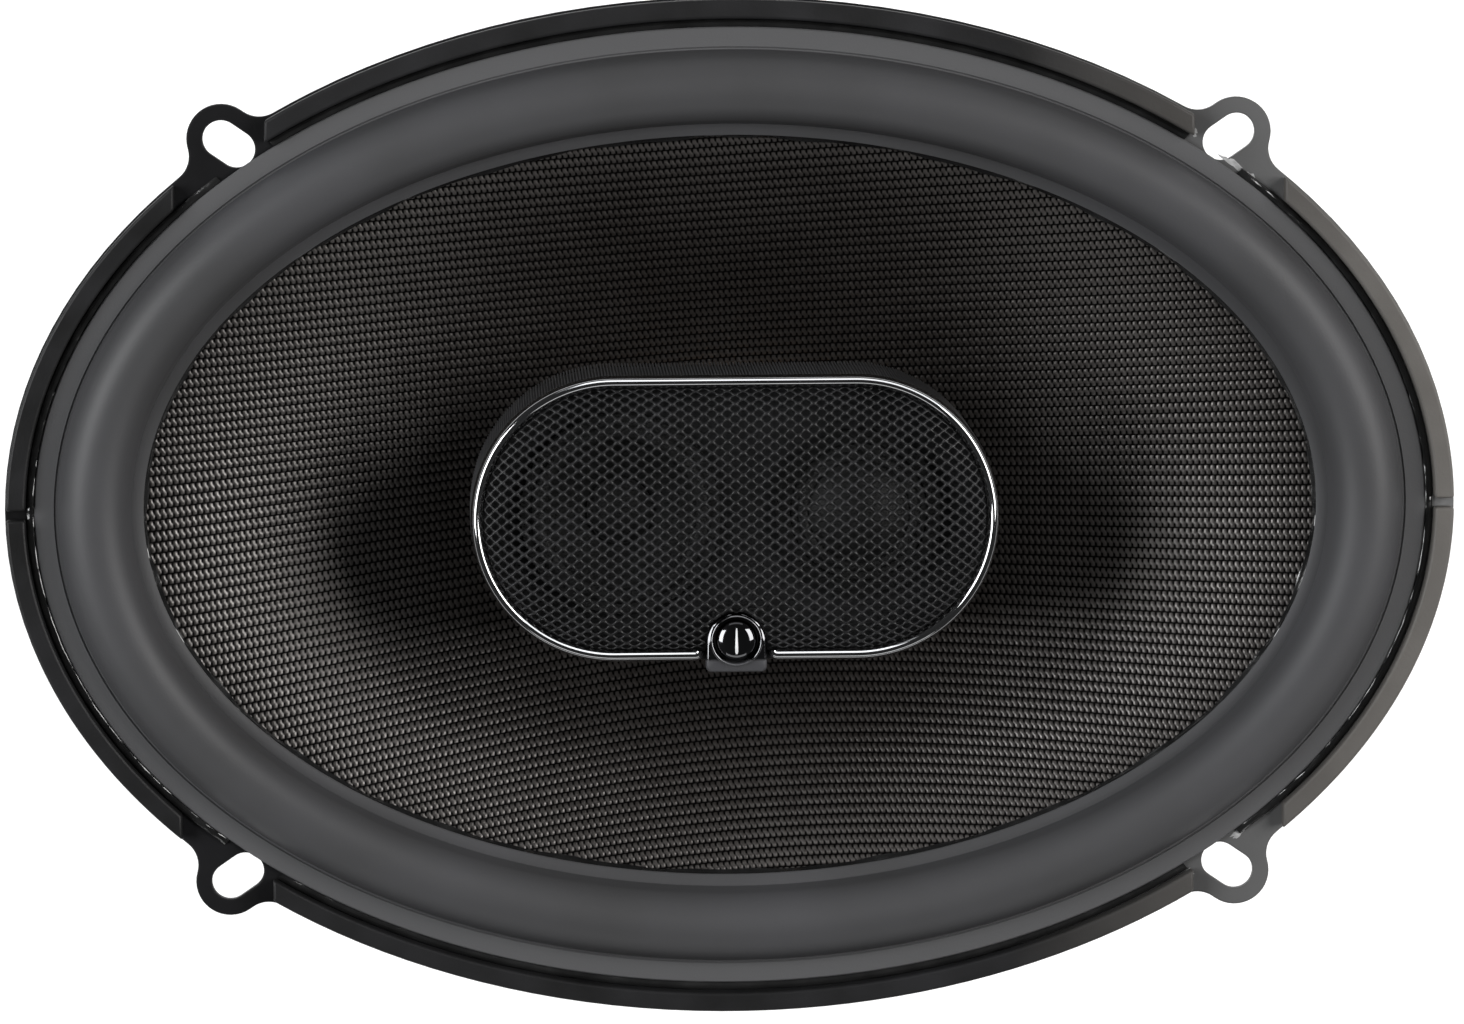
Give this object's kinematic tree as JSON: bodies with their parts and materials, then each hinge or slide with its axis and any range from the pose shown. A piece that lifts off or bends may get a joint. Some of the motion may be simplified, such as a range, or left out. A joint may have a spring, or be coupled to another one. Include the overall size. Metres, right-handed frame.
{
  "type": "coaxial car speaker",
  "caption": "Oval coaxial car speaker: slotted flange ears, woven cone in a rubber surround, and a meshed pod with midrange, tweeter and level knob on a centre post.",
  "frame": {"origin": "centre of the flange's back face, the plane that meets the car panel", "axes": "+Z towards the listener, +X along the long axis of the oval, +Y along the short axis away from the level knob"},
  "size_m": [0.236, 0.166, 0.0998],
  "materials": {
    "black_coated_steel": "satin black powder coat",
    "gasket_rubber": "moulded, matt",
    "adhesive_black": "glossy black cement",
    "surround_rubber": "satin butyl rubber",
    "woven_glass_cone": "woven glass fibre with black resin",
    "coil_former_film": "amber polyimide film",
    "copper_wire": "enamelled copper",
    "spider_cloth": "resin-dipped cotton",
    "screen_cloth": "open black cloth",
    "solder_pad": "tinned brass",
    "tinsel_braid": "braided copper tinsel",
    "zinc_steel": "zinc plated",
    "ferrite": "sintered ferrite",
    "boot_rubber": "satin moulded",
    "carrier_plastic": "glass-filled nylon",
    "screw_steel": "black oxide",
    "rivet_steel": "zinc plated",
    "post_aluminium": "black anodised",
    "pod_plastic": "moulded black ABS",
    "trim_chrome": "bright",
    "dark_chrome": "smoked bright",
    "grille_steel": "black expanded mesh",
    "switch_plastic": "matt",
    "board_laminate": "solder mask",
    "capacitor_sleeve": "shrink sleeve",
    "bobbin_plastic": "moulded",
    "frame_plastic": "moulded",
    "nickel_magnet": "nickel plated",
    "midrange_paper": "coated pulp",
    "dome_silk": "coated silk",
    "lead_jacket": "soft jacket",
    "terminal_brass_plain": "bright plated"
  },
  "bodies": {
    "frame_body": {"basket": "black_coated_steel", "rim_gasket_top": "gasket_rubber", "rim_gasket_bottom": "gasket_rubber", "rim_gasket_left_upper": "gasket_rubber", "rim_gasket_left_lower": "gasket_rubber", "rim_gasket_right_upper": "gasket_rubber", "rim_gasket_right_lower": "gasket_rubber", "adhesive_bead": "adhesive_black", "surround": "surround_rubber", "spider": "spider_cloth", "terminal_carrier": "carrier_plastic", "terminal_positive": "terminal_brass_plain", "terminal_negative": "terminal_brass_plain", "terminal_screws": "screw_steel", "basket_rivets": "rivet_steel", "tinsel_lead_positive": "tinsel_braid", "tinsel_lead_negative": "tinsel_braid", "top_plate": "zinc_steel", "ring_magnet": "ferrite", "pole_yoke": "zinc_steel", "magnet_boot": "boot_rubber", "centre_post": "post_aluminium", "post_nut_rear": "rivet_steel", "post_nut_front": "rivet_steel", "pod_lead": "lead_jacket", "pod_base": "pod_plastic", "pod_housing": "pod_plastic", "pod_screws": "screw_steel", "trim_ring": "trim_chrome", "grille": "grille_steel", "knob_bezel": "dark_chrome", "level_switch": "switch_plastic", "crossover_board": "board_laminate", "inductor_bobbin": "bobbin_plastic", "inductor_winding": "copper_wire", "crossover_capacitors": "capacitor_sleeve", "midrange_frame": "frame_plastic", "midrange_yoke": "nickel_magnet", "midrange_magnet": "nickel_magnet", "midrange_pole_plate": "zinc_steel", "midrange_surround": "surround_rubber", "tweeter_faceplate": "frame_plastic", "tweeter_yoke": "nickel_magnet", "tweeter_magnet": "nickel_magnet", "tweeter_pole_plate": "zinc_steel", "tweeter_surround": "dome_silk"},
    "woofer_body": {"woofer_cone": "woven_glass_cone", "lead_pads": "solder_pad", "voice_coil_former": "coil_former_film", "voice_coil_winding": "copper_wire", "dust_screen": "screen_cloth"},
    "midrange_body": {"midrange_cone": "midrange_paper", "midrange_dust_cap": "midrange_paper", "midrange_former": "coil_former_film", "midrange_winding": "copper_wire"},
    "tweeter_body": {"tweeter_dome": "dome_silk", "tweeter_former": "coil_former_film", "tweeter_winding": "copper_wire"},
    "knob_body": {"level_knob": "dark_chrome", "knob_pointer": "trim_chrome"}
  },
  "joints": [
    {"name": "woofer_travel", "type": "slide", "parent": "frame_body", "child": "woofer_body", "axis": [0, 0, 1], "range_m": [-0.005, 0.005], "stiffness_N_per_m": 2500, "deforming": ["surround", "spider", "tinsel_lead_positive", "tinsel_lead_negative"]},
    {"name": "midrange_travel", "type": "slide", "parent": "frame_body", "child": "midrange_body", "axis": [0, 0, 1], "range_m": [-0.0006, 0.0006], "stiffness_N_per_m": 300, "deforming": ["midrange_surround"]},
    {"name": "tweeter_travel", "type": "slide", "parent": "frame_body", "child": "tweeter_body", "axis": [0, 0, 1], "range_m": [-0.0003, 0.0003], "stiffness_N_per_m": 125, "deforming": ["tweeter_surround"]},
    {"name": "level_turn", "type": "hinge", "parent": "frame_body", "child": "knob_body", "pos_m": [0, -0.0196, 0.0166], "axis": [0, 0, 1], "range_deg": [-45, 45]}
  ]
}
